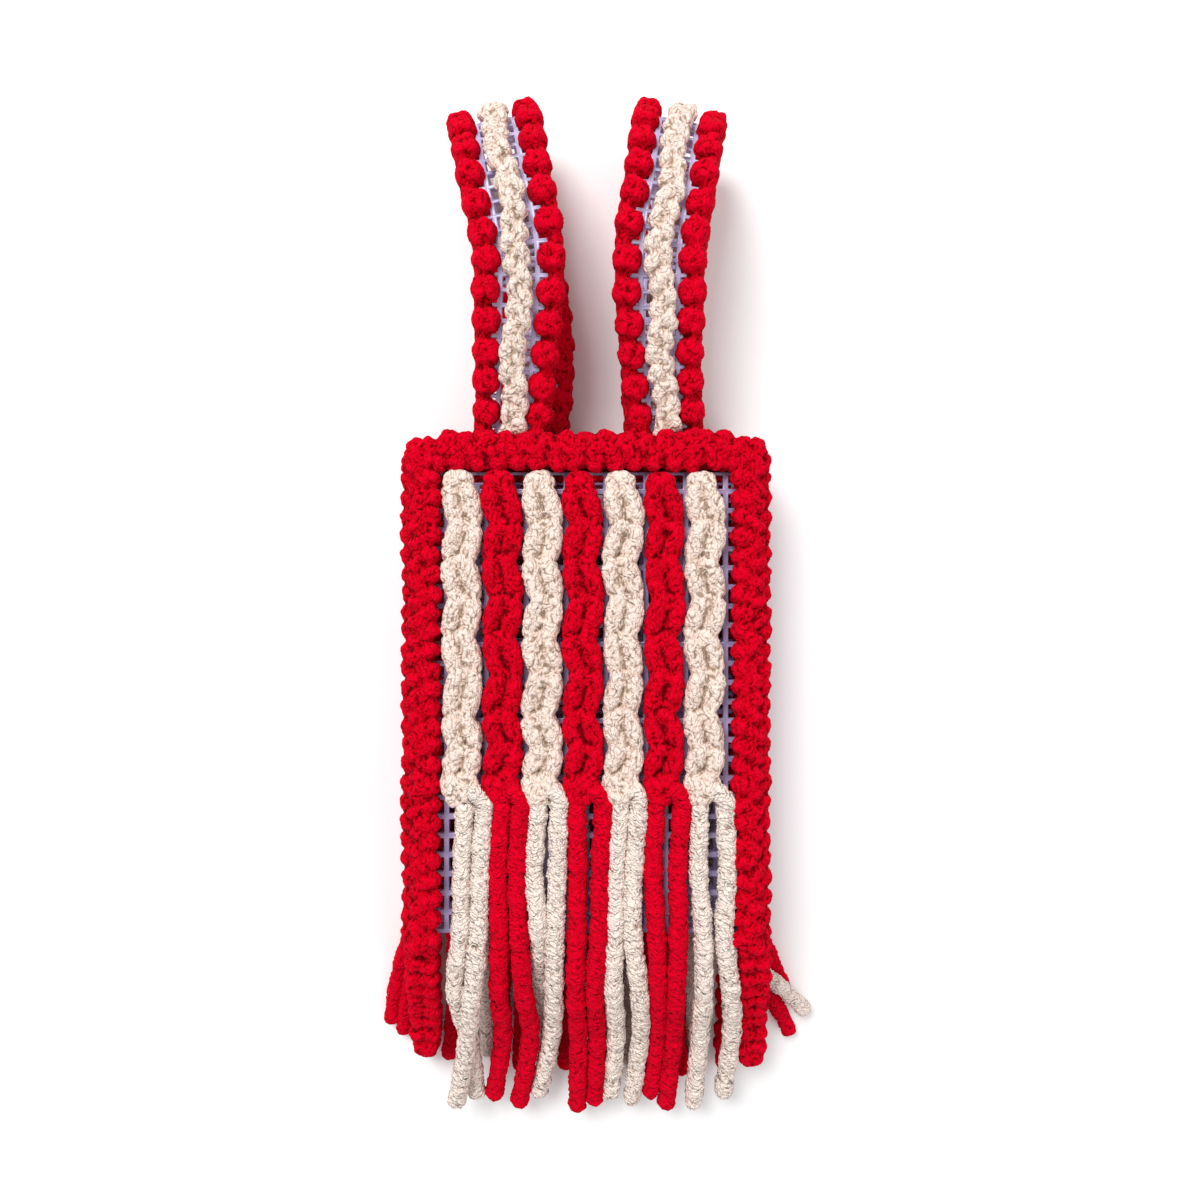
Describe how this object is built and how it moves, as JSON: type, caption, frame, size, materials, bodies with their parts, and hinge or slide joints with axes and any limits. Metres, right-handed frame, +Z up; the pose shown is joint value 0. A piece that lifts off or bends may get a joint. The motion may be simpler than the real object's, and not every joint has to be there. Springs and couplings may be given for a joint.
{
  "type": "mesh bag",
  "caption": "Small handbag of stiff open mesh with striped chenille yarn chains, beaded red borders, two looped handles and a long fringe, lying on its back.",
  "frame": {"origin": "under the middle of the bag's box, on the surface it lies on", "axes": "+X across the bag to its right, +Y from the fringe towards the handles, +Z up out of the front face; the bag lies on its back"},
  "size_m": [0.1566, 0.3522, 0.0504],
  "materials": {
    "red_yarn": "soft puffy chenille pile",
    "cream_yarn": "soft puffy chenille pile",
    "canvas": "translucent moulded plastic mesh"
  },
  "bodies": {
    "root": {"body_canvas": "canvas", "gusset_left": "canvas", "gusset_right": "canvas", "rim_front": "red_yarn", "rim_back": "red_yarn", "rim_left": "red_yarn", "rim_right": "red_yarn", "border_front_left": "red_yarn", "border_front_right": "red_yarn", "border_back_left": "red_yarn", "border_back_right": "red_yarn", "stripe_front_1": "cream_yarn", "stripe_front_2": "red_yarn", "stripe_front_3": "cream_yarn", "stripe_front_4": "red_yarn", "stripe_front_5": "cream_yarn", "stripe_front_6": "red_yarn", "stripe_front_7": "cream_yarn", "stripe_back_1": "cream_yarn", "stripe_back_2": "red_yarn", "stripe_back_3": "cream_yarn", "stripe_back_4": "red_yarn", "stripe_back_5": "cream_yarn", "stripe_back_6": "red_yarn", "stripe_back_7": "cream_yarn", "fringe_front": "cream_yarn", "fringe_back": "cream_yarn", "handle_left_canvas": "canvas", "handle_left_chain": "cream_yarn", "handle_left_binding_outer": "red_yarn", "handle_left_binding_inner": "red_yarn", "handle_right_canvas": "canvas", "handle_right_chain": "cream_yarn", "handle_right_binding_outer": "red_yarn", "handle_right_binding_inner": "red_yarn"}
  },
  "joints": []
}
